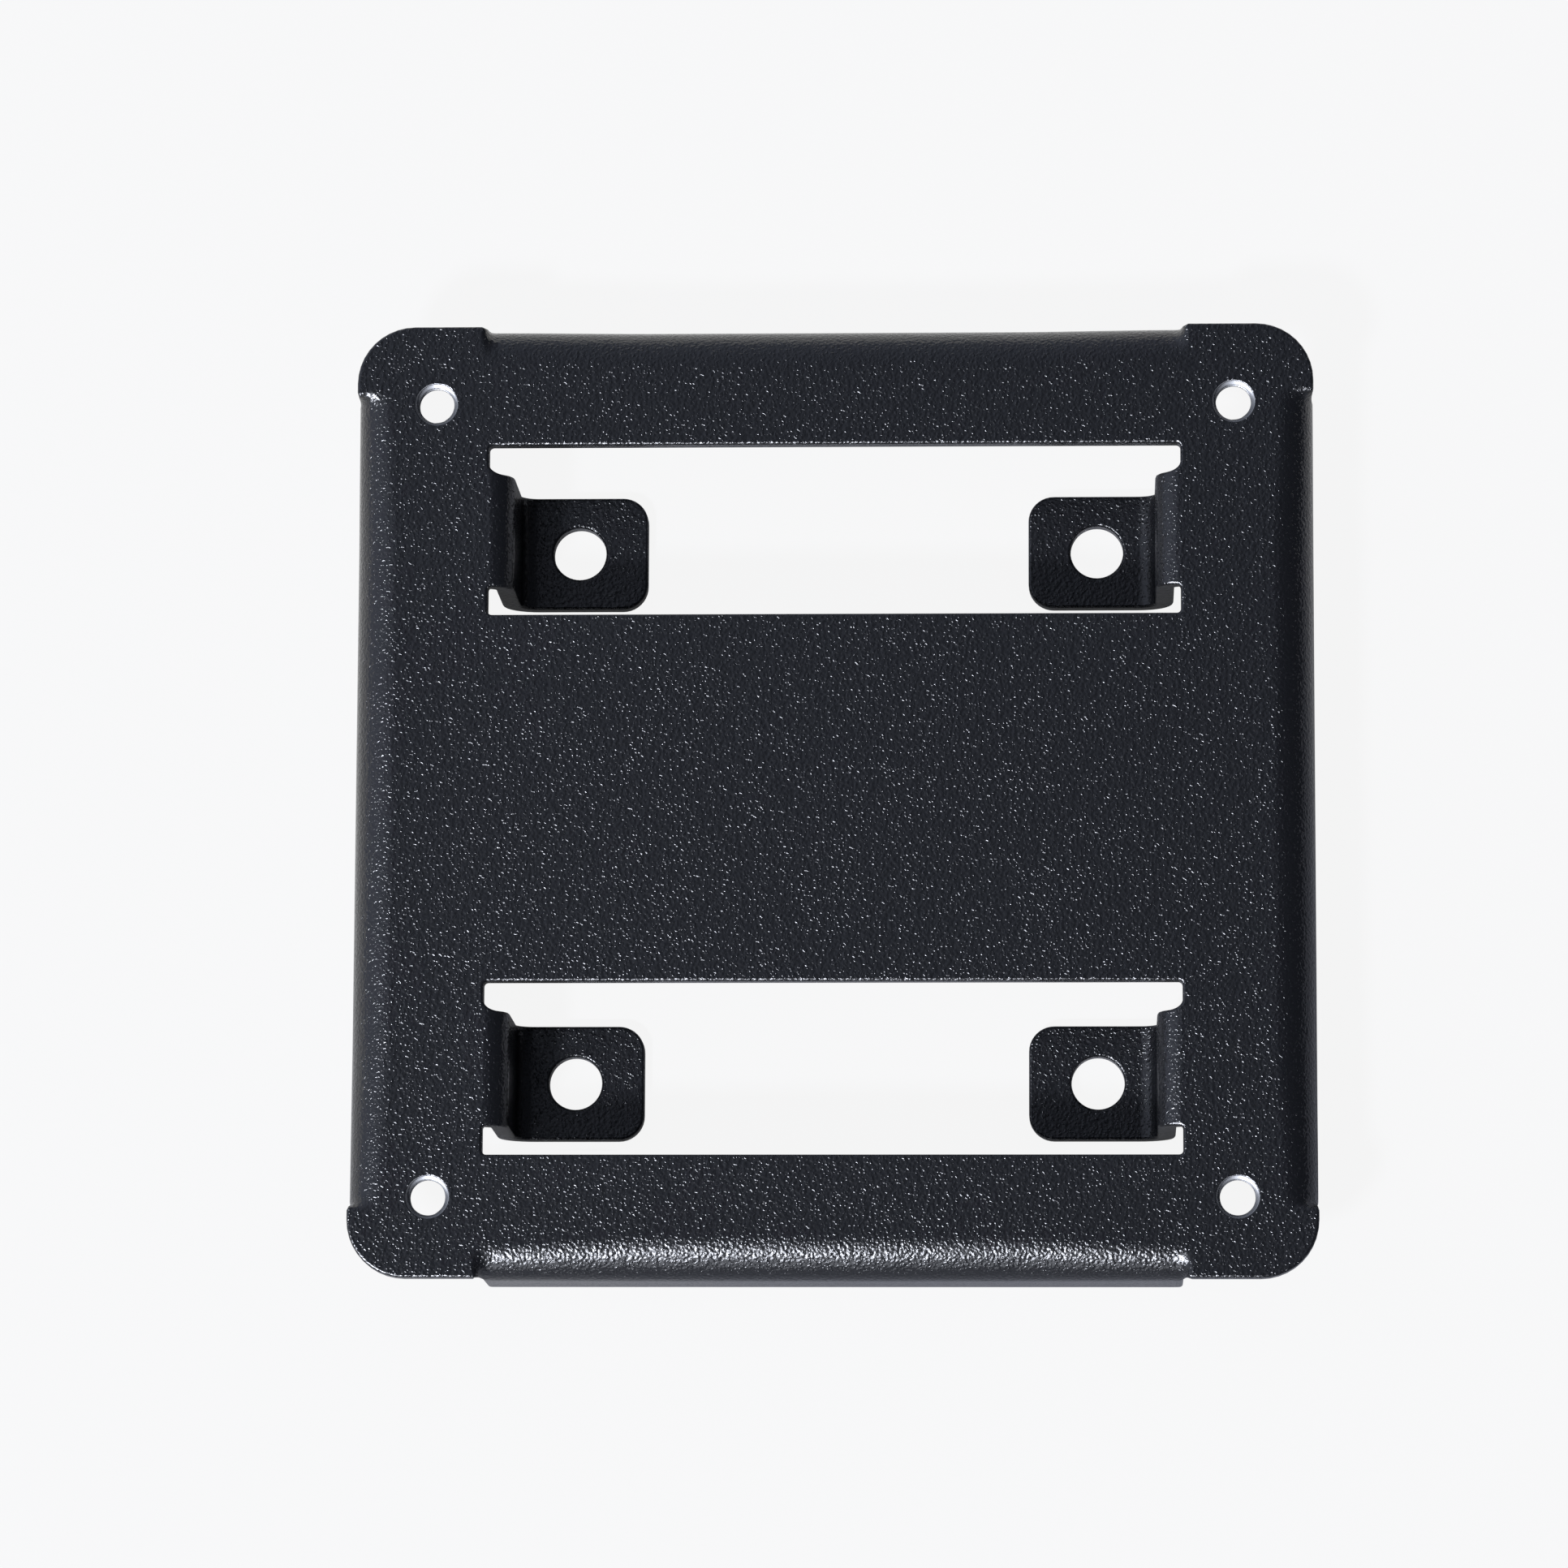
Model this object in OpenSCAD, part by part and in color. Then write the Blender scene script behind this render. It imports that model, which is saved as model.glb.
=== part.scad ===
// Adapter plate for hanging a flat screen: one steel sheet, pressed, folded and powder coated.
// Four folded edges stiffen it, two windows give the stock for four stepped feet, and the flat
// corners hold the tapped holes. Millimetres, front face up, soles of the feet on z = 0.

/* [Sheet] */
// Thickness of the sheet with its coating
sheet_t = 1.75; // [1:0.05:2.25]
// Width of the plate, left to right
plate_w = 90; // [86:0.5:120]
// Height of the plate, as it hangs
plate_h = 90; // [88:0.5:120]
// Radius of the plate's four flat corners
corner_r = 5.4; // [1:0.1:5.8]

/* [Corner holes] */
// Distance between neighbouring corner holes, both ways
hole_pitch = 75; // [70:0.5:76]
// Outer diameter of the screw thread in the corner holes
thread_d = 4; // [3.5:0.1:5]
// Diameter of the corner holes before they are tapped
tap_drill_d = 3.3; // [2.5:0.1:3.5]

/* [Folded edges] */
// How far the folded edges reach back from the front face
fold_depth = 9.5; // [6:0.25:12]
// Inner radius of the edge folds
fold_inner_r = 2.25; // [1.5:0.25:4]
// Length of the top and bottom folds
end_fold_l = 65; // [40:0.5:67]
// Length of the left and right folds
side_fold_l = 76; // [50:0.5:77]
// Radius of the two free corners of each fold
fold_tip_r = 0.6; // [0.2:0.1:2]
// Length over which a fold runs out into the flat corner, at its bend line
runout_l = 1.6; // [1:0.1:3]
// The same length at the plate's edge
runout_edge_l = 0.5; // [0.4:0.1:1]

/* [Windows] */
// Length of each window
window_l = 65; // [50:0.5:68]
// Height of each window
window_h = 16.2; // [13.5:0.1:20]
// Distance between the centre lines of the two windows
window_pitch = 50.9; // [46:0.1:52]
// Radius in the corners of the windows
window_r = 0.4; // [0.2:0.1:1]

/* [Stepped feet] */
// Width of each foot and of its neck
foot_w = 10.8; // [8:0.1:13]
// Step from the plate's front face down to a foot's front face
foot_drop = 12; // [10:0.5:25]
// Reach of each foot from the window's end edge to its tip
foot_reach = 14.35; // [12:0.05:20]
// Radius of the two corners at the tip of a foot
foot_corner_r = 2.4; // [0.5:0.1:3.5]
// Inner radius of the bend where the neck leaves the plate
neck_bend_r = 0.6; // [0.4:0.1:2]
// Inner radius of the bend where the foot leaves the neck
heel_bend_r = 1.6; // [0.4:0.1:2]
// Radius of the fillet above the neck's root
root_upper_r = 1; // [0.2:0.1:1.2]
// Radius of the fillet below the neck's root
root_lower_r = 0.3; // [0.2:0.1:1.2]
// Diameter of the hole in each foot
foot_hole_d = 5; // [3:0.1:6]
// Distance from the tip of a foot to the centre of its hole
foot_hole_inset = 6.5; // [4.5:0.1:7]

/* [Hidden] */
$fn = 96;
coating = "#26292d";
// Cutting tools reach this far past the face that they cut
cut_past = 1;
// The run-outs are smooth patches with this many steps along and across
runout_steps_along = 6;
runout_steps_across = 7;
// A run-out's end is let this far into the fold, below both of its skins
runout_let_in = 0.02;
// A foot is one with the sheet of the face from this far behind the window's end edge
foot_stock_l = 2;
// A fillet laps over its neck by this much
fillet_lap = 0.5;
root_span = max(root_upper_r, root_lower_r);
face_z = foot_drop + sheet_t;
// Outer radii of the bends, on the far side of the sheet from the inner ones
fold_r = fold_inner_r + sheet_t;
neck_r = neck_bend_r + sheet_t;
heel_r = heel_bend_r + sheet_t;
// The flat corner's edge would reach this far round the bend if it were folded too
runout_turn = fold_r / (fold_inner_r + sheet_t / 2) * 180 / PI;

function smooth_step(u) = u * u * (3 - 2 * u);

// Length of the run-out at the share v of the way from the bend line to the plate's edge
function runout_reach(v) = runout_l + (runout_edge_l - runout_l) * v;

// A point of the run-out: u goes from the fold to the flat, v from the bend line to the edge,
// and side is 1 on the front skin and -1 on the back skin.
function runout_point(u, v, side) =
    let (
        share = 1 - smooth_step(u),
        depth = (1 - side) * sheet_t / 2 + side * share * runout_let_in,
        turn = v * runout_turn,
        lying = [fold_r * v, -depth],
        folded = [(fold_r - depth) * sin(turn), (fold_r - depth) * cos(turn) - fold_r],
        place = lying + share * (folded - lying)
    )
    [u * runout_reach(v) - (1 - u) * runout_let_in, place.x, place.y];

// Patch where a fold fades into the flat corner, from the fold's end at x = 0
module runout() {
    along = runout_steps_along;
    across = runout_steps_across;
    skin = (along + 1) * (across + 1);
    corners = [
        for (side = [1, -1], i = [0:along], j = [0:across])
            runout_point(i / along, j / across, side)
    ];
    function front(i, j) = i * (across + 1) + j;
    function back(i, j) = skin + front(i, j);
    skins = [
        for (i = [0:along - 1], j = [0:across - 1]) each [
            [front(i, j), front(i, j + 1), front(i + 1, j + 1)],
            [front(i, j), front(i + 1, j + 1), front(i + 1, j)],
            [back(i, j), back(i + 1, j + 1), back(i, j + 1)],
            [back(i, j), back(i + 1, j), back(i + 1, j + 1)]
        ]
    ];
    ends = [
        for (j = [0:across - 1]) each [
            [front(0, j), back(0, j), back(0, j + 1), front(0, j + 1)],
            [front(along, j), front(along, j + 1), back(along, j + 1), back(along, j)]
        ]
    ];
    sides = [
        for (i = [0:along - 1]) each [
            [front(i, 0), front(i + 1, 0), back(i + 1, 0), back(i, 0)],
            [front(i, across), back(i, across), back(i + 1, across)],
            [front(i, across), back(i + 1, across), front(i + 1, across)]
        ]
    ];
    polyhedron(points = corners, faces = concat(skins, ends, sides), convexity = 4);
}

// Rectangle about the origin with round corners
module rounded_rectangle(w, h, r) {
    square([w - 2 * r, h], center = true);
    square([w, h - 2 * r], center = true);
    for (x = [-1, 1], y = [-1, 1])
        translate([x * (w / 2 - r), y * (h / 2 - r)]) circle(r);
}

// Quarter of a bent sheet about the origin, from the +x axis to the +y axis
module bend_section(inner_r) {
    intersection() {
        difference() {
            circle(inner_r + sheet_t);
            circle(inner_r);
        }
        square(inner_r + sheet_t);
    }
}

// Stock that a fold and its two run-outs take from the face, from the bend line outwards
module fold_stock(length) {
    translate([-length / 2, 0]) square([length, fold_r + cut_past]);
    for (side = [0, 1]) mirror([side, 0]) translate([length / 2, 0]) runout_stock();
}

// Stock of one run-out, which ends at the run-out's own points so that both meet there exactly
module runout_stock() {
    across = runout_steps_across;
    seam = [for (j = [0:across]) [runout_reach(j / across), fold_r * j / across]];
    past = fold_r + cut_past;
    polygon(concat([[-cut_past, past], [-cut_past, 0]], seam, [[runout_edge_l, past]]));
}

// One folded edge along x, with its bend line on the x axis and its back towards -z
module folded_edge(length) {
    intersection() {
        rotate([90, 0, 90]) linear_extrude(length, center = true) {
            translate([0, -fold_r]) bend_section(fold_inner_r);
            translate([fold_inner_r, -fold_depth]) square([sheet_t, fold_depth - fold_r]);
        }
        translate([0, fold_r + cut_past, 0]) rotate([90, 0, 0])
            linear_extrude(fold_r + 2 * cut_past) fold_outline(length);
    }
    for (side = [0, 1]) mirror([side, 0, 0]) translate([length / 2, 0, 0]) runout();
}

// A fold seen from outside: square at the bend, with its two free corners rounded
module fold_outline(length) {
    translate([-length / 2, fold_tip_r - fold_depth])
        square([length, fold_depth - fold_tip_r + cut_past]);
    translate([fold_tip_r - length / 2, -fold_depth])
        square([length - 2 * fold_tip_r, fold_tip_r]);
    for (x = [-1, 1])
        translate([x * (length / 2 - fold_tip_r), fold_tip_r - fold_depth]) circle(fold_tip_r);
}

// Places its child at both bend lines of the edges above and below, and of those at the sides
module at_end_bends() {
    for (turn = [0, 180]) rotate(turn) translate([0, plate_h / 2 - fold_r]) children();
}

module at_side_bends() {
    for (turn = [90, 270]) rotate(turn) translate([0, plate_w / 2 - fold_r]) children();
}

// Flat front of the plate with its two windows, in plan
module face() {
    difference() {
        rounded_rectangle(plate_w, plate_h, corner_r);
        at_end_bends() fold_stock(end_fold_l);
        at_side_bends() fold_stock(side_fold_l);
        for (y = [-1, 1])
            translate([0, y * window_pitch / 2]) rounded_rectangle(window_l, window_h, window_r);
    }
}

// Side view of a neck and its foot, from the window's end edge at x = 0
module foot_section() {
    heel = [neck_r + heel_bend_r, heel_r];
    translate([-foot_stock_l, foot_drop]) square([foot_stock_l, sheet_t]);
    translate([0, face_z - neck_r]) bend_section(neck_bend_r);
    translate([neck_bend_r, heel.y]) square([sheet_t, face_z - neck_r - heel.y]);
    translate(heel) rotate(180) bend_section(heel_bend_r);
    translate([heel.x, 0]) square([foot_reach - heel.x, sheet_t]);
}

// Plan of a neck and its foot, with fillets at the root and round corners at the tip
module foot_plan() {
    straight = foot_reach - foot_corner_r;
    translate([-foot_stock_l, -foot_w / 2]) square([foot_stock_l + straight, foot_w]);
    translate([straight, foot_corner_r - foot_w / 2])
        square([foot_corner_r, foot_w - 2 * foot_corner_r]);
    for (y = [-1, 1])
        translate([straight, y * (foot_w / 2 - foot_corner_r)]) circle(foot_corner_r);
    translate([0, foot_w / 2]) root_fillet(root_upper_r);
    translate([0, -foot_w / 2]) mirror([0, 1]) root_fillet(root_lower_r);
}

// Fillet in the corner of the +x and +y axes
module root_fillet(r) {
    difference() {
        translate([0, -fillet_lap]) square([r, r + fillet_lap]);
        translate([r, r]) circle(r);
    }
}

// Foot that is cut from a window's stock, bent down behind the plate and bent level again
module stepped_foot() {
    difference() {
        intersection() {
            rotate([90, 0, 0]) linear_extrude(foot_w + 2 * root_span, center = true) foot_section();
            linear_extrude(face_z) foot_plan();
        }
        translate([foot_reach - foot_hole_inset, 0, -cut_past])
            cylinder(h = sheet_t + 2 * cut_past, d = foot_hole_d);
    }
}

// Tool for a tapped corner hole: the drilled bore and the thread's lead-in on both faces
module tapped_hole() {
    lead = (thread_d - tap_drill_d) / 2;
    translate([0, 0, -cut_past]) cylinder(h = sheet_t + 2 * cut_past, d = tap_drill_d);
    for (side = [0, 1])
        translate([0, 0, side * sheet_t]) mirror([0, 0, side])
            translate([0, 0, -cut_past])
                cylinder(h = cut_past + lead, r1 = thread_d / 2 + cut_past, r2 = tap_drill_d / 2);
}

// The whole plate, pressed and folded from one sheet
module adapter_plate() {
    color(coating) difference() {
        union() {
            translate([0, 0, foot_drop]) linear_extrude(sheet_t) face();
            translate([0, 0, face_z]) {
                at_end_bends() folded_edge(end_fold_l);
                at_side_bends() folded_edge(side_fold_l);
            }
            for (x = [0, 1], y = [-1, 1])
                mirror([x, 0, 0]) translate([-window_l / 2, y * window_pitch / 2]) stepped_foot();
        }
        for (x = [-1, 1], y = [-1, 1])
            translate([x * hole_pitch / 2, y * hole_pitch / 2, foot_drop]) tapped_hole();
    }
}

adapter_plate();
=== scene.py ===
import bpy
import numpy as np
from mathutils import Euler, Matrix, Vector
from mathutils.geometry import delaunay_2d_cdt


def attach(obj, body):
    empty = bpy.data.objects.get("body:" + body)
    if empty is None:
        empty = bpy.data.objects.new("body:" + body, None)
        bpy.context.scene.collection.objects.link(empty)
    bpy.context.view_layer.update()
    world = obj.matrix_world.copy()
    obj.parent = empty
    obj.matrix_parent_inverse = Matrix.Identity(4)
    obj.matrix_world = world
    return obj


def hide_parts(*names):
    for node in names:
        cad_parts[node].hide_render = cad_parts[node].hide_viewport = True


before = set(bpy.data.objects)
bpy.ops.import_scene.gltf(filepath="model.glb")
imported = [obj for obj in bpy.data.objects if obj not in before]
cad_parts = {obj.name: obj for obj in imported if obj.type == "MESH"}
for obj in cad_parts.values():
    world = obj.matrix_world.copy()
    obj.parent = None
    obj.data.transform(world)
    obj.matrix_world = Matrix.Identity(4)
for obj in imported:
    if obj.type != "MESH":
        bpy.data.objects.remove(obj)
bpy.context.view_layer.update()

mm = 0.001

# The plate is one sheet, punched flat and then folded. Its sizes are in millimetres.

sheet = {
    "thickness": 1.75,  # steel with its coat
    "faceHeight": 13.75,  # front face above the soles
    "width": 90.0,
    "height": 90.0,
    "cornerRadius": 5.4,
    "edgeRadius": 0.28,  # the coat rounds every cut edge
}
folds = {
    "innerRadius": 2.25,
    "depth": 9.5,  # from the front face to the lip
    "endLength": 65.0,  # above and below
    "sideLength": 76.0,  # left and right
    "tipRadius": 0.6,
    "notchRadius": 0.3,  # where a fold's end meets the flat corner
    "runOut": 2.6,  # length of the run-out at the bend line
    "runOutStart": 1.6,  # of it lies within the fold
    "runOutEdge": 0.5,  # length at the plate's edge, beyond the fold
    "tighter": 0.7,  # the outer radius is this much less at the ends
    "tighterOver": 16.0,
}
windows = {"length": 65.0, "height": 16.2, "pitch": 50.9, "radius": 0.4}
feet = {
    "width": 10.8,
    "neckRadius": 0.6,  # inner radii of the two bends
    "heelRadius": 1.6,
    "reach": 14.35,  # from the window's end edge to the tip
    "tipRadius": 2.4,
    "rootUpper": 1.0,  # radii of the fillets at the neck's root
    "rootLower": 0.3,
    "rootMargin": 0.05,  # beside the root that still folds with the foot
    "holeRadius": 2.5,
    "holeInset": 6.5,  # from the tip
}
threads = {
    "pitch": 75.0,  # between the holes
    "rootRadius": 2.0,  # M4
    "crestRadius": 1.65,
    "lead": 0.7,
    "crestShare": 1 / 8,  # of one lead, either side of the crest's middle
    "flankShare": 5 / 16,
    "leadIn": 0.04,  # the 45 degree lead-in starts this far outside the thread
    "coatRound": 0.08,  # rounding of the coat at the rim
    "bareFrom": 0.03,  # outside the thread, where the coat was cut away
}
meshSteps = {  # millimetres and counts
    "loop": 0.5,  # along the cut edges
    "arc": 9.0,  # degrees, round their corners
    "flat": 2.6,
    "bend": 0.42,
    "edgeRows": 6,  # round each edge of a cut
    "footHole": 48,
    "threadRows": 44,
    "threadColumns": 72,
    "nudge": 0.001,  # either way, for the slopes of the folded sheet
    "merge": 1e-7,
    "batch": 2000,  # points worked on at once
}

thickness = sheet["thickness"]
foldOuter = folds["innerRadius"] + thickness
foldMiddle = folds["innerRadius"] + thickness / 2
foldArc = foldMiddle * np.pi / 2
foldLip = folds["depth"] - foldOuter  # straight part after the bend
flapEnd = {0: sheet["width"] / 2 - foldOuter + foldArc + foldLip,
           1: sheet["height"] / 2 - foldOuter + foldArc + foldLip}
bendLines = {0: sheet["width"] / 2 - foldOuter, 1: sheet["height"] / 2 - foldOuter}
foldLengths = {0: folds["sideLength"], 1: folds["endLength"]}

neckOuter = feet["neckRadius"] + thickness
neckArc = (feet["neckRadius"] + thickness / 2) * np.pi / 2
heelArc = (feet["heelRadius"] + thickness / 2) * np.pi / 2
neckDrop = sheet["faceHeight"] - neckOuter - feet["heelRadius"] - thickness
footFlat = feet["reach"] - neckOuter - feet["heelRadius"]
footLength = neckArc + neckDrop + heelArc + footFlat  # along the sheet


def smoothStep(u):
    # 0 before u = 0, 1 after u = 1, and 3u^2 - 2u^3 between.
    u = np.clip(u, 0, 1)
    return u * u * (3 - 2 * u)


def foldSheet(blank):
    # Where each point (x, y, depth below the front skin) of the flat blank ends up. Past a bend
    # line the distance q turns through q / middle radius, up to a quarter turn, and then runs
    # straight back; the radius lessens towards a fold's ends. Along a run-out the sheet is between
    # that place and the flat one, by 1 - smooth step of the distance over the run-out's length. A
    # foot turns down through its neck, runs straight down, and turns level again through its heel.
    depth = blank[:, 2]
    place = np.column_stack([blank[:, 0], blank[:, 1], sheet["faceHeight"] - depth])
    for axis in (0, 1):
        across = np.abs(blank[:, axis])
        past = np.abs(blank[:, 1 - axis]) - foldLengths[axis] / 2
        outer = foldOuter - folds["tighter"] * smoothStep(1 + past / folds["tighterOver"])
        line = bendLines[axis] + foldOuter - outer
        q = across - line
        outward = np.clip(q / outer, 0, 1)
        start = -folds["runOutStart"] * (1 - outward)
        reach = folds["runOut"] + (folds["runOutEdge"] - folds["runOut"]) * outward
        share = np.where(q > 0, 1 - smoothStep((past - start) / reach), 0)
        middle = outer - thickness / 2
        arc = middle * np.pi / 2
        turn = np.clip(q / middle, 0, np.pi / 2)
        stretch = (folds["depth"] - outer) / (flapEnd[axis] - line - arc)
        straight = np.maximum(q - arc, 0) * stretch
        bentOut = line + (outer - depth) * np.sin(turn)
        bentUp = sheet["faceHeight"] - outer + (outer - depth) * np.cos(turn) - straight
        place[:, axis] += np.sign(blank[:, axis]) * share * (bentOut - across)
        place[:, 2] += share * (bentUp - (sheet["faceHeight"] - depth))

    along = windows["length"] / 2 - np.abs(blank[:, 0])
    beside = np.abs(np.abs(blank[:, 1]) - windows["pitch"] / 2)
    foot = (along > 0) & (beside < feet["width"] / 2 + feet["rootUpper"] + feet["rootMargin"])
    first = np.clip(along / neckArc, 0, 1) * np.pi / 2
    down = np.clip(along - neckArc, 0, neckDrop)
    second = np.clip((along - neckArc - neckDrop) / heelArc, 0, 1) * np.pi / 2
    level = np.maximum(along - neckArc - neckDrop - heelArc, 0)
    neck, heel = neckOuter - depth, feet["heelRadius"] + depth
    inward = neck * np.sin(first) + heel * (1 - np.cos(second)) + level
    height = sheet["faceHeight"] - neckOuter + neck * np.cos(first) - down - heel * np.sin(second)
    footX = np.sign(blank[:, 0]) * (windows["length"] / 2 - inward)
    place[:, 0] = np.where(foot, footX, place[:, 0])
    place[:, 2] = np.where(foot, height, place[:, 2])
    return place


def foldNormals(blank, normals):
    # Normals of the blank, each times the transposed inverse of the fold's slopes there.
    nudge = meshSteps["nudge"]
    slopes = np.stack([(foldSheet(blank + step) - foldSheet(blank - step)) / (2 * nudge)
                       for step in np.eye(3) * nudge], axis=2)
    slopes[:, :, 2] *= -1  # depth runs against z
    turned = np.einsum("nij,nj->ni", np.linalg.inv(slopes).transpose(0, 2, 1), normals)
    return turned / np.linalg.norm(turned, axis=1, keepdims=True)


def roundedLoop(corners):
    # Closed loop through corners (x, y, radius), each rounded by an arc of its own radius, and the
    # directions out of the metal, which lies left of the path.
    corners = np.array(corners, float)
    spots, radii = corners[:, :2], corners[:, 2]
    ahead = np.roll(spots, -1, axis=0) - spots
    ahead /= np.linalg.norm(ahead, axis=1, keepdims=True)
    behind = np.roll(ahead, 1, axis=0)
    cross = behind[:, 0] * ahead[:, 1] - behind[:, 1] * ahead[:, 0]
    angle = np.arctan2(cross, (behind * ahead).sum(1))
    cut = radii * np.tan(np.abs(angle) / 2)
    points, outward = [], []
    for i in range(len(corners)):
        count = max(2, int(np.ceil(np.degrees(abs(angle[i])) / meshSteps["arc"])) + 1)
        turned = np.linspace(0, angle[i], count)
        right = np.array([behind[i, 1], -behind[i, 0]])
        rays = np.column_stack([right[0] * np.cos(turned) - right[1] * np.sin(turned),
                                right[0] * np.sin(turned) + right[1] * np.cos(turned)])
        side = np.sign(angle[i])
        centre = spots[i] - behind[i] * cut[i] - side * right * radii[i]
        arc = centre + side * radii[i] * rays
        points.append(arc)
        outward.append(rays)
        j = (i + 1) % len(corners)
        start, end = arc[-1], spots[j] - ahead[i] * cut[j]
        pieces = int(np.ceil(np.linalg.norm(end - start) / meshSteps["loop"]))
        if pieces > 1:
            shares = np.linspace(0, 1, pieces + 1)[1:-1, None]
            points.append(start + shares * (end - start))
            outward.append(np.repeat(rays[-1:], len(shares), axis=0))
    return np.vstack(points), np.vstack(outward)


def ringLoop(x, y, radius, columns):
    # Circle about (x, y), run clockwise so that the metal lies left of the path.
    turn = -np.linspace(0, 2 * np.pi, columns, endpoint=False)
    rays = np.column_stack([np.cos(turn), np.sin(turn)])
    return np.array([x, y]) + radius * rays, -rays


def outlineLoop():
    # Outline of the blank, anticlockwise: four flaps and four round corners between them.
    w, h = sheet["width"] / 2, sheet["height"] / 2
    flapX, flapY = flapEnd[0], flapEnd[1]
    side, end = folds["sideLength"] / 2, folds["endLength"] / 2
    tip, notch, corner = folds["tipRadius"], folds["notchRadius"], sheet["cornerRadius"]
    quarter = np.array([[flapX, side, tip], [w, side, notch], [w, h, corner],
                        [end, h, notch], [end, flapY, tip]])
    mirrored = quarter[::-1] * [-1, 1, 1]
    half = np.vstack([quarter, mirrored])
    return roundedLoop(np.vstack([half, half * [-1, -1, 1]]))


def windowLoop(ySign):
    # One window, clockwise, with the two feet's strips reaching in from its ends.
    x, y = windows["length"] / 2, windows["height"] / 2
    f, reach = feet["width"] / 2, windows["length"] / 2 - footLength
    right = np.array([
        [x, y, windows["radius"]], [x, f, feet["rootUpper"]], [reach, f, feet["tipRadius"]],
        [reach, -f, feet["tipRadius"]], [x, -f, feet["rootLower"]], [x, -y, windows["radius"]],
    ])
    loop = np.vstack([right, right[::-1] * [-1, 1, 1]])
    loop[:, 1] += ySign * windows["pitch"] / 2
    return roundedLoop(loop)


def cutProfile(columns):
    # Inset and depth of a cut edge from the front skin to the back: a quarter circle, a straight
    # line and a quarter circle.
    r = sheet["edgeRadius"]
    turn = np.radians(np.linspace(0, 90, meshSteps["edgeRows"]))
    inset = np.concatenate([r * (1 - np.sin(turn)), r * (1 - np.cos(turn))])
    depth = np.concatenate([r * (1 - np.cos(turn)), thickness - r * (1 - np.sin(turn))])
    return np.repeat(inset[:, None], columns, 1), np.repeat(depth[:, None], columns, 1)


def threadProfile(columns):
    # Tapped hole: the radius is the larger of the thread and its two 45 degree lead-ins. The
    # thread's radius goes from crest to root by the distance from the crest's middle, in turns of
    # depth / lead + angle / full turn: crest for 1/8, flank for 5/16, and root for what is left.
    rim = threads["leadIn"] + threads["coatRound"]
    depth = np.linspace(0, thickness, meshSteps["threadRows"])[:, None]
    angle = np.arange(columns)[None, :] / columns
    phase = (depth / threads["lead"] + angle) % 1
    flank = smoothStep((np.abs(phase - 0.5) - threads["crestShare"]) / threads["flankShare"])
    thread = threads["crestRadius"] + (threads["rootRadius"] - threads["crestRadius"]) * flank
    fromFace = np.minimum(depth, thickness - depth)
    cone = threads["rootRadius"] + threads["leadIn"] - fromFace
    cone += threads["coatRound"] * np.clip(1 - fromFace / threads["coatRound"], 0, 1) ** 2
    radius = np.maximum(thread, cone)
    radius[[0, -1]] = threads["rootRadius"] + rim
    return radius - threads["rootRadius"], np.repeat(depth, columns, 1)


def batches(count):
    # The numbers below count, in groups of about one batch each.
    return np.array_split(np.arange(count), max(1, count // meshSteps["batch"]))


def insideMetal(points, loops):
    # True where a ray towards +x crosses the loops an odd number of times.
    inside = np.zeros(len(points), bool)
    for path, outward in loops:
        after = np.roll(path, -1, axis=0)
        run, rise = (after - path).T
        rise = np.where(rise == 0, 1, rise)
        for batch in batches(len(points)):
            x, y = points[batch, 0][:, None], points[batch, 1][:, None]
            spans = (path[:, 1] > y) != (after[:, 1] > y)
            crossing = path[:, 0] + (y - path[:, 1]) / rise * run
            inside[batch] ^= (spans & (x < crossing)).sum(1) % 2 == 1
    return inside


def gridOver(x0, x1, y0, y1, step):
    # Points of a rectangle, a step or less apart, its sides included.
    xs = np.linspace(x0, x1, int(np.ceil((x1 - x0) / step)) + 1)
    ys = np.linspace(y0, y1, int(np.ceil((y1 - y0) / step)) + 1)
    return np.stack(np.meshgrid(xs, ys), -1).reshape(-1, 2)


def skinPoints(loops):
    # Points inside the blank: a fine grid where the sheet bends, a coarse one where it is flat.
    fine = []
    for axis in (0, 1):
        half = foldLengths[axis] / 2 + folds["runOut"]
        for sign in (-1, 1):
            low, high = sorted((sign * bendLines[axis], sign * (bendLines[axis] + foldArc)))
            box = (low, high, -half, half) if axis == 0 else (-half, half, low, high)
            fine.append(box)
    f = feet["width"] / 2 + feet["rootUpper"]
    for xSign in (-1, 1):
        for ySign in (-1, 1):
            for start, length in ((0, neckArc), (neckArc + neckDrop, heelArc)):
                edge = windows["length"] / 2 - start
                low, high = sorted((xSign * edge, xSign * (edge - length)))
                y = ySign * windows["pitch"] / 2
                fine.append((low, high, y - f, y + f))
    flapX, flapY = flapEnd[0], flapEnd[1]
    coarse = gridOver(-flapX, flapX, -flapY, flapY, meshSteps["flat"])
    gap = meshSteps["bend"]
    for x0, x1, y0, y1 in fine:
        near = ((coarse[:, 0] > x0 - gap) & (coarse[:, 0] < x1 + gap)
                & (coarse[:, 1] > y0 - gap) & (coarse[:, 1] < y1 + gap))
        coarse = coarse[~near]
    points = np.vstack([coarse] + [gridOver(*box, meshSteps["bend"]) for box in fine])
    points = points[insideMetal(points, loops)]
    border = np.vstack([path for path, outward in loops])
    clear = np.ones(len(points), bool)
    for batch in batches(len(points)):
        away = np.linalg.norm(points[batch, None] - border[None], axis=2).min(1)
        clear[batch] = away > meshSteps["bend"] / 2
    return points[clear]


def holeLoops(x, y, radius, columns):
    # Four circles, one in each quarter of the sheet.
    return [ringLoop(xSign * x, ySign * y, radius, columns)
            for xSign in (-1, 1) for ySign in (-1, 1)]


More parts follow.
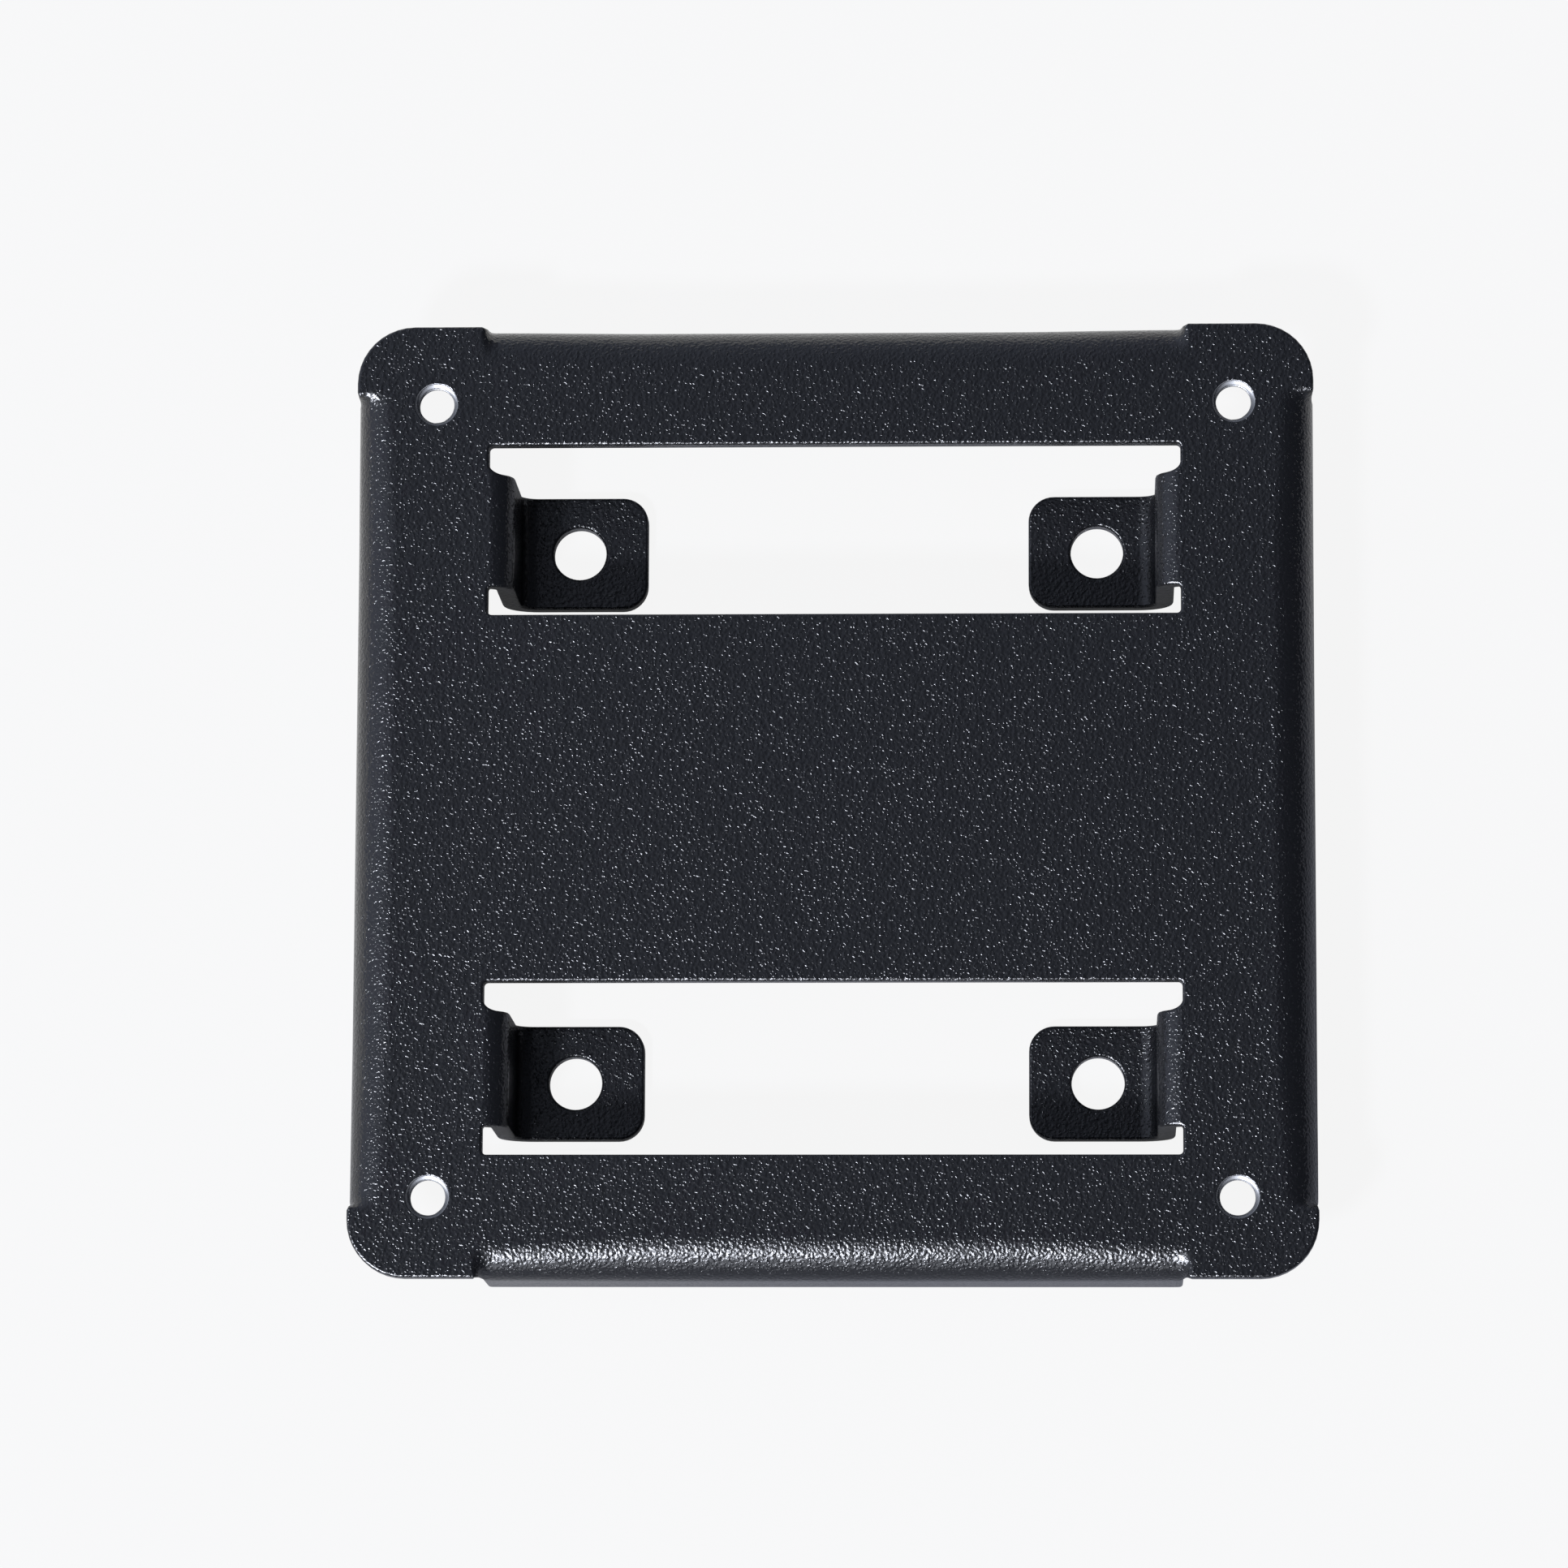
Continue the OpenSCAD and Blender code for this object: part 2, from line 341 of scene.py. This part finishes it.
def buildPlate():
    # The blank's two skins and its cut edges as one closed mesh. Each skin is the triangles between
    # its points, each cut edge is its profile carried along its loop, and all of it is then folded.
    loops = [outlineLoop(), windowLoop(1), windowLoop(-1)]
    loops += holeLoops(windows["length"] / 2 - footLength + feet["holeInset"],
                       windows["pitch"] / 2, feet["holeRadius"], meshSteps["footHole"])
    plain = len(loops)
    loops += holeLoops(threads["pitch"] / 2, threads["pitch"] / 2,
                       threads["rootRadius"], meshSteps["threadColumns"])
    profiles = [cutProfile(len(path)) for path, outward in loops[:plain]]
    profiles += [threadProfile(len(path)) for path, outward in loops[plain:]]
    skinLoops = [(path - outward * inset[0][:, None], outward)
                 for (path, outward), (inset, depth) in zip(loops, profiles)]

    border = np.vstack([path for path, outward in skinLoops])
    starts = np.cumsum([0] + [len(path) for path, outward in skinLoops])
    links = []
    for first, last in zip(starts[:-1], starts[1:]):
        ring = np.arange(first, last)
        links += np.column_stack([ring, np.roll(ring, -1)]).tolist()
    flat = np.vstack([border, skinPoints(skinLoops)])
    found = delaunay_2d_cdt(flat.tolist(), links, [], 0, meshSteps["merge"], False)
    assert len(found[0]) == len(flat), "the blank's edges cross or meet"
    triangles = np.array(found[2])
    triangles = triangles[insideMetal(flat[triangles].mean(1), skinLoops)]
    a, b, c = flat[triangles].transpose(1, 0, 2)
    ab, ac = b - a, c - a
    clockwise = ab[:, 0] * ac[:, 1] < ab[:, 1] * ac[:, 0]
    triangles[clockwise] = triangles[clockwise][:, ::-1]

    count = len(flat)
    blank = [np.column_stack([flat, np.full(count, depth)]) for depth in (0.0, thickness)]
    normals = [np.tile([0.0, 0.0, up], (count, 1)) for up in (1.0, -1.0)]
    faces = [triangles, triangles[:, ::-1] + count]
    quads, finish = [], [np.zeros(2 * len(triangles), int)]  # 0 is coated, 1 is bare
    total = 2 * count
    for i, ((path, outward), (inset, depth)) in enumerate(zip(loops, profiles)):
        rows, columns = inset.shape
        ring = np.arange(starts[i], starts[i + 1])
        spots = path[None] - outward[None] * inset[:, :, None]
        inner = np.dstack([spots, depth])[1:-1]
        slopeIn, slopeDown = np.gradient(inset, axis=0), np.gradient(depth, axis=0)
        tilt = np.dstack([outward[None] * slopeDown[:, :, None], -slopeIn])
        tilt /= np.linalg.norm(tilt, axis=2, keepdims=True)
        blank.append(inner.reshape(-1, 3))
        normals.append(tilt[1:-1].reshape(-1, 3))
        between = total + np.arange((rows - 2) * columns).reshape(rows - 2, columns)
        total += between.size
        here = np.vstack([ring, between, ring + count])
        beside = np.roll(here, -1, axis=1)
        strip = np.stack([here[:-1], here[1:], beside[1:], beside[:-1]], axis=2)
        quads.append(strip.reshape(-1, 4))
        bare = (inset[:-1] < threads["bareFrom"]) & (i >= plain)
        finish.append(bare.astype(int).ravel())
    blank, normals = np.vstack(blank), np.vstack(normals)
    places = foldSheet(blank) * mm
    normals = foldNormals(blank, normals)
    mesh = bpy.data.meshes.new("adapterPlate")
    mesh.from_pydata(places.tolist(), [], np.vstack(faces).tolist() + np.vstack(quads).tolist())
    mesh.polygons.foreach_set("material_index", np.concatenate(finish))
    mesh.polygons.foreach_set("use_smooth", np.ones(len(mesh.polygons), bool))
    mesh.normals_split_custom_set_from_vertices(normals.tolist())
    mesh.update()
    plate = bpy.data.objects.new("foldedPlate", mesh)
    bpy.context.collection.objects.link(plate)
    return plate


plate = buildPlate()
print("plate folded:", len(plate.data.vertices), "points,", len(plate.data.polygons), "faces")


def linearColour(hexText):
    # sRGB hex to linear: value / 12.92 below 0.04045, else ((value + 0.055) / 1.055) ^ 2.4.
    values = np.array([int(hexText[i:i + 2], 16) for i in (1, 3, 5)]) / 255
    values = np.where(values <= 0.04045, values / 12.92, ((values + 0.055) / 1.055) ** 2.4)
    return (*values.tolist(), 1.0)


def addNode(tree, kind, settings=None, **inputs):
    # One node with its settings. An input goes by its name, or by its number as in _0, and takes a
    # value, or a socket that is linked to it.
    node = tree.nodes.new(kind)
    for name, value in (settings or {}).items():
        setattr(node, name, value)
    for name, value in inputs.items():
        key = name.replace("_", " ")
        socket = node.inputs[int(key) if key.strip().isdigit() else key]
        if isinstance(value, bpy.types.NodeSocket):
            tree.links.new(value, socket)
        else:
            socket.default_value = value
    return node


def newMaterial(name):
    # Material with an empty node tree.
    material = bpy.data.materials.new(name)
    material.use_nodes = True
    material.node_tree.nodes.clear()
    return material, material.node_tree


powderCoat = {
    "colour": "#17181b",
    "roughness": 0.23,
    "peelGrain": 0.31,  # mm, half the way from bump to bump
    "peelHeight": 0.056,  # mm, the full range of the bumps' height
    "fineGrain": 0.16,
    "fineHeight": 0.009,
    "speckGrain": 0.21,
    "speckHeight": 0.028,
    "speckFrom": 0.57,  # level of the noise at which a speck starts
    "speckTo": 0.84,  # and at which it is full
}


def powderCoatedSteel():
    # Black polyester powder, sprayed dry and melted on in an oven: it flows only partly, so the
    # surface is a fine orange peel with steep specks that glint under a lamp. The real specks are
    # about 0.1 mm, too fine for the render, so the grain is drawn as coarse as it needs to show.
    material, tree = newMaterial("blackTexturedPowderCoat")
    place = addNode(tree, "ShaderNodeTexCoord").outputs["Object"]
    grains = [powderCoat[name] * mm for name in ("peelGrain", "fineGrain", "speckGrain")]
    peel, fine, specks = [addNode(tree, "ShaderNodeTexNoise", Vector=place, Scale=1 / grain,
                                  Detail=0.0).outputs["Fac"] for grain in grains]
    raised = addNode(tree, "ShaderNodeMapRange", {"interpolation_type": "SMOOTHSTEP"}, Value=specks,
                     From_Min=powderCoat["speckFrom"], From_Max=powderCoat["speckTo"],
                     To_Max=powderCoat["speckHeight"]).outputs["Result"]
    waves = addNode(tree, "ShaderNodeMath", {"operation": "MULTIPLY_ADD"}, _0=peel,
                    _1=powderCoat["peelHeight"], _2=raised).outputs["Value"]
    height = addNode(tree, "ShaderNodeMath", {"operation": "MULTIPLY_ADD"}, _0=fine,
                     _1=powderCoat["fineHeight"], _2=waves).outputs["Value"]
    bump = addNode(tree, "ShaderNodeBump", Strength=1.0, Distance=mm, Height=height)
    shader = addNode(tree, "ShaderNodeBsdfPrincipled", IOR=1.5,
                     Base_Color=linearColour(powderCoat["colour"]),
                     Roughness=powderCoat["roughness"], Normal=bump.outputs["Normal"])
    addNode(tree, "ShaderNodeOutputMaterial", Surface=shader.outputs["BSDF"])
    return material


tappedSteel = {
    "colour": "#747577",
    "roughLow": 0.4,
    "roughHigh": 0.6,
    "scoreGrain": 0.3,  # mm
    "scoreDetail": 3.0,  # octaves finer than that
}


def cutSteel():
    # Mild steel cut by a tap after coating: bare and finely scored, so it is a light grey with a
    # soft, uneven shine.
    material, tree = newMaterial("bareTappedSteel")
    place = addNode(tree, "ShaderNodeTexCoord").outputs["Object"]
    scores = addNode(tree, "ShaderNodeTexNoise", Vector=place, Detail=tappedSteel["scoreDetail"],
                     Scale=1 / (tappedSteel["scoreGrain"] * mm))
    rough = addNode(tree, "ShaderNodeMapRange", Value=scores.outputs["Fac"],
                    To_Min=tappedSteel["roughLow"], To_Max=tappedSteel["roughHigh"])
    shader = addNode(tree, "ShaderNodeBsdfPrincipled", Metallic=1.0,
                     Base_Color=linearColour(tappedSteel["colour"]),
                     Roughness=rough.outputs["Result"])
    addNode(tree, "ShaderNodeOutputMaterial", Surface=shader.outputs["BSDF"])
    return material


plate.data.materials.append(powderCoatedSteel())
plate.data.materials.append(cutSteel())
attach(plate, "root")
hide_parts("adapter_plate")
print("materials set")


stage = {  # metres
    "floorColour": "#b4b4b8",
    "floorSize": 4.0,
    "floorBelow": 0.00002,  # so that the soles don't lie in it
    "whiteSeen": 0.9,  # share of plain white in the floor that the camera sees, the rest is lit
    "paintedLightReflectedPale": 1.0,  # painted light: the share of glowing white in the floor that a glossy surface reflects, at its pale side,
    "paintedLightReflectedDark": 0.05,  # at its dark side, painted darker,
    "paintedShadeUnderPlate": 0.1,  # and in the plate's own shade, a painted shade
    "towardsDark": (0.7, -1.0, 0.0),
    "paintedLightToShade": (-0.035, 0.047),  # from the middle, where the painted light goes from pale to dark
    "shade": (0.044, 0.048),  # half the width of the painted shade, and where it has ended
}


def buildFloor():
    # Matt white studio paper: the camera sees it nearly white, and the plate's shadow on it. What
    # the coat reflects of it is a painted glow: painted light, pale beyond the upper left edges,
    # and painted shade, dark under the plate where the plate's shadow falls.
    half, low = stage["floorSize"] / 2, -stage["floorBelow"]
    corners = [(-half, -half, low), (half, -half, low), (half, half, low), (-half, half, low)]
    mesh = bpy.data.meshes.new("paleFloor")
    mesh.from_pydata(corners, [], [(0, 1, 2, 3)])
    floor = bpy.data.objects.new("paleFloor", mesh)
    bpy.context.collection.objects.link(floor)
    material, tree = newMaterial("paleStudioFloor")
    lit = addNode(tree, "ShaderNodeBsdfDiffuse", Color=linearColour(stage["floorColour"]))
    white = addNode(tree, "ShaderNodeEmission", Strength=1.0)
    ray = addNode(tree, "ShaderNodeLightPath")
    straight = addNode(tree, "ShaderNodeMath", {"operation": "MAXIMUM"},
                       _0=ray.outputs["Is Camera Ray"], _1=ray.outputs["Is Transmission Ray"])
    seen = addNode(tree, "ShaderNodeMath", {"operation": "MULTIPLY"},
                   _0=straight.outputs["Value"], _1=stage["whiteSeen"])
    place = addNode(tree, "ShaderNodeTexCoord").outputs["Object"]
    # painted light: the glow that glossy rays see is graded from pale at the upper left to dark at
    # the lower right
    side = addNode(tree, "ShaderNodeVectorMath", {"operation": "DOT_PRODUCT"}, _0=place,
                   _1=stage["towardsDark"]).outputs["Value"]
    paintedTone = addNode(tree, "ShaderNodeMapRange", Value=side, From_Min=stage["paintedLightToShade"][0],
                   From_Max=stage["paintedLightToShade"][1], To_Min=stage["paintedLightReflectedPale"],
                   To_Max=stage["paintedLightReflectedDark"]).outputs["Result"]
    # painted shade: under the plate the reflected glow drops to a low share in place of the plate's
    # shadow
    away = addNode(tree, "ShaderNodeVectorMath", {"operation": "ABSOLUTE"}, _0=place)
    parts = addNode(tree, "ShaderNodeSeparateXYZ", Vector=away.outputs["Vector"])
    beside = addNode(tree, "ShaderNodeMath", {"operation": "MAXIMUM"}, _0=parts.outputs["X"],
                     _1=parts.outputs["Y"]).outputs["Value"]
    paintedReflection = addNode(tree, "ShaderNodeMapRange", Value=beside, From_Min=stage["shade"][0],
                        From_Max=stage["shade"][1], To_Min=stage["paintedShadeUnderPlate"], To_Max=paintedTone)
    share = addNode(tree, "ShaderNodeMath", {"operation": "MULTIPLY_ADD"},
                    _0=ray.outputs["Is Glossy Ray"], _1=paintedReflection.outputs["Result"],
                    _2=seen.outputs["Value"])
    shader = addNode(tree, "ShaderNodeMixShader", _0=share.outputs["Value"],
                     _1=lit.outputs["BSDF"], _2=white.outputs["Emission"])
    addNode(tree, "ShaderNodeOutputMaterial", Surface=shader.outputs["Shader"])
    mesh.materials.append(material)


lampColour = "#f0f4ff"
lampDistance = 1.3  # metres from the plate's middle
lamps = {  # sizes in metres, power in watts
    "keyLamp": {"direction": (-0.43, -0.62, 1.0), "size": (0.16, 0.16), "power": 12.5},
    "softbox": {"direction": (-0.78, -0.97, 1.0), "size": (1.3, 0.55), "power": 82.0,
                "onlyReflected": True},
    "lowLamp": {"direction": (-0.25, -1.0, 0.22), "size": (0.9, 0.5), "power": 3.0,
                "onlyReflected": True},
}


def addLamp(name, direction, size, power, onlyReflected=False):
    # Oval area lamp that looks at the plate's middle. Where it is only reflected, it draws the
    # highlights and leaves the light on the plate at its plain level.
    light = bpy.data.lights.new(name, "AREA")
    light.shape = "ELLIPSE"
    light.size, light.size_y = size
    light.energy = power
    light.color = linearColour(lampColour)[:3]
    lamp = bpy.data.objects.new(name, light)
    target = Vector((0, 0, sheet["faceHeight"] * mm))
    away = Vector(direction).normalized()
    lamp.location = target + away * lampDistance
    lamp.rotation_euler = away.to_track_quat("Z", "Y").to_euler()
    lamp.visible_diffuse = not onlyReflected
    bpy.context.collection.objects.link(lamp)


room = {
    "colour": "#dfe8ff",
    "pale": 0.88,  # strengths
    "dark": 0.09,
    "towardsDark": (1.0, -0.4, 0.0),
    "paleUntil": -0.95,  # that way, along the direction looked in
    "darkFrom": 0.3,
}


def setWorld():
    # A studio with a pale wall at the upper left and a dark one at the lower right: the strength
    # goes from one to the other by a smooth step of the direction's share towards the dark.
    world = bpy.data.worlds.new("studio")
    world.use_nodes = True
    tree = world.node_tree
    tree.nodes.clear()
    way = addNode(tree, "ShaderNodeTexCoord").outputs["Generated"]
    side = addNode(tree, "ShaderNodeVectorMath", {"operation": "DOT_PRODUCT"}, _0=way,
                   _1=room["towardsDark"]).outputs["Value"]
    share = addNode(tree, "ShaderNodeMapRange", {"interpolation_type": "SMOOTHSTEP"}, Value=side,
                    From_Min=room["paleUntil"], From_Max=room["darkFrom"],
                    To_Min=room["pale"], To_Max=room["dark"])
    sky = addNode(tree, "ShaderNodeBackground", Color=linearColour(room["colour"]),
                  Strength=share.outputs["Result"])
    addNode(tree, "ShaderNodeOutputWorld", Surface=sky.outputs["Background"])
    bpy.context.scene.world = world


photo = {
    "pixels": 1932,  # both ways
    "focalPixels": 9235.0,
    "turn": (-9.29, -2.37, 0.14),  # degrees about x, y and z
    "offset": (4.56, -1.14, -698.9),  # mm, the front face's middle as the camera sees it
    "sensorWidth": 36.0,  # mm
    "farthest": 20.0,  # metres
}


def setCamera():
    # The photograph's own view: the plate is moved back to its face's middle, turned and set off as
    # the camera saw it, and the camera stands where the reverse of that puts it.
    camera = bpy.data.cameras.new("photoCamera")
    camera.sensor_width = photo["sensorWidth"]
    camera.lens = photo["focalPixels"] * photo["sensorWidth"] / photo["pixels"]
    camera.clip_end = photo["farthest"]
    turned = Euler(np.radians(photo["turn"]), "XYZ").to_matrix().to_4x4()
    fromFace = Matrix.Translation((0, 0, -sheet["faceHeight"] * mm))
    toCamera = Matrix.Translation(Vector(photo["offset"]) * mm) @ turned @ fromFace
    view = bpy.data.objects.new("photoCamera", camera)
    view.matrix_world = toCamera.inverted()
    bpy.context.collection.objects.link(view)
    bpy.context.scene.camera = view


buildFloor()
for name, lamp in lamps.items():
    addLamp(name, **lamp)
setWorld()
setCamera()
bpy.context.scene.view_settings.view_transform = "Standard"
print("stage, lamps and camera set")
